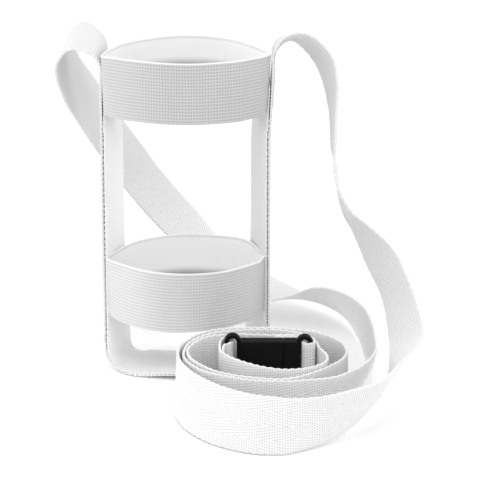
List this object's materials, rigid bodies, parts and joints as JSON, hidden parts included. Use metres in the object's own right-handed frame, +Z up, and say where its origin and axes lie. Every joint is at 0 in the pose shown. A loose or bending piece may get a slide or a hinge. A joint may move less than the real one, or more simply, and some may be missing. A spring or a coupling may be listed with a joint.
{
  "type": "webbing bottle carrier with shoulder strap",
  "caption": "Drink-bottle carrier of flat white webbing: U-shaped frame with elastic bands, shoulder strap that lies coiled round its black pull-apart buckle",
  "frame": {"origin": "on the floor under the middle of the frame that holds the bottle", "axes": "+Z up along the bottle, +X along the base strap towards the upright on the right, +Y away from the coiled strap"},
  "size_m": [0.1485, 0.1569, 0.1488],
  "materials": {
    "webbing": "woven herringbone tape, white",
    "lining": "plain woven tape, white",
    "elastic": "ribbed knit elastic, off-white",
    "thread": "sewing thread, white",
    "buckle": "satin moulded plastic, black"
  },
  "bodies": {
    "carrier": {"base_strap": "webbing", "base_lining": "lining", "left_upright": "webbing", "right_upright": "webbing", "left_lining": "lining", "right_lining": "lining", "upper_band": "elastic", "lower_band": "elastic", "upper_left_stitching": "thread", "upper_right_stitching": "thread", "lower_left_stitching": "thread", "lower_right_stitching": "thread", "left_shoulder_strap": "webbing", "left_strap_coil": "webbing", "left_strap_end": "webbing", "left_end_stitching": "thread", "right_shoulder_strap": "webbing", "right_strap_coil": "webbing", "buckle_socket": "buckle"},
    "plug": {"buckle_plug": "buckle", "right_strap_end": "webbing", "right_end_stitching": "thread"},
    "upper_finger": {"upper_latch_finger": "buckle"},
    "lower_finger": {"lower_latch_finger": "buckle"}
  },
  "joints": [
    {"name": "plug_release", "type": "slide", "parent": "carrier", "child": "plug", "axis": [1, 0, 0], "range_m": [0, 0.012], "deforming": ["left_strap_coil", "right_strap_coil"]},
    {"name": "upper_finger_flex", "type": "hinge", "parent": "plug", "child": "upper_finger", "pos_m": [0.0382, -0.038, 0.0203], "axis": [0, 1, 0], "range_deg": [-5, 0]},
    {"name": "lower_finger_flex", "type": "hinge", "parent": "plug", "child": "lower_finger", "pos_m": [0.0382, -0.038, 0.0103], "axis": [0, 1, 0], "range_deg": [0, 5]}
  ],
  "couplings": [
    {"joint": "upper_finger_flex", "follows": "plug_release", "rad_per_m": -7},
    {"joint": "lower_finger_flex", "follows": "plug_release", "rad_per_m": 7}
  ]
}
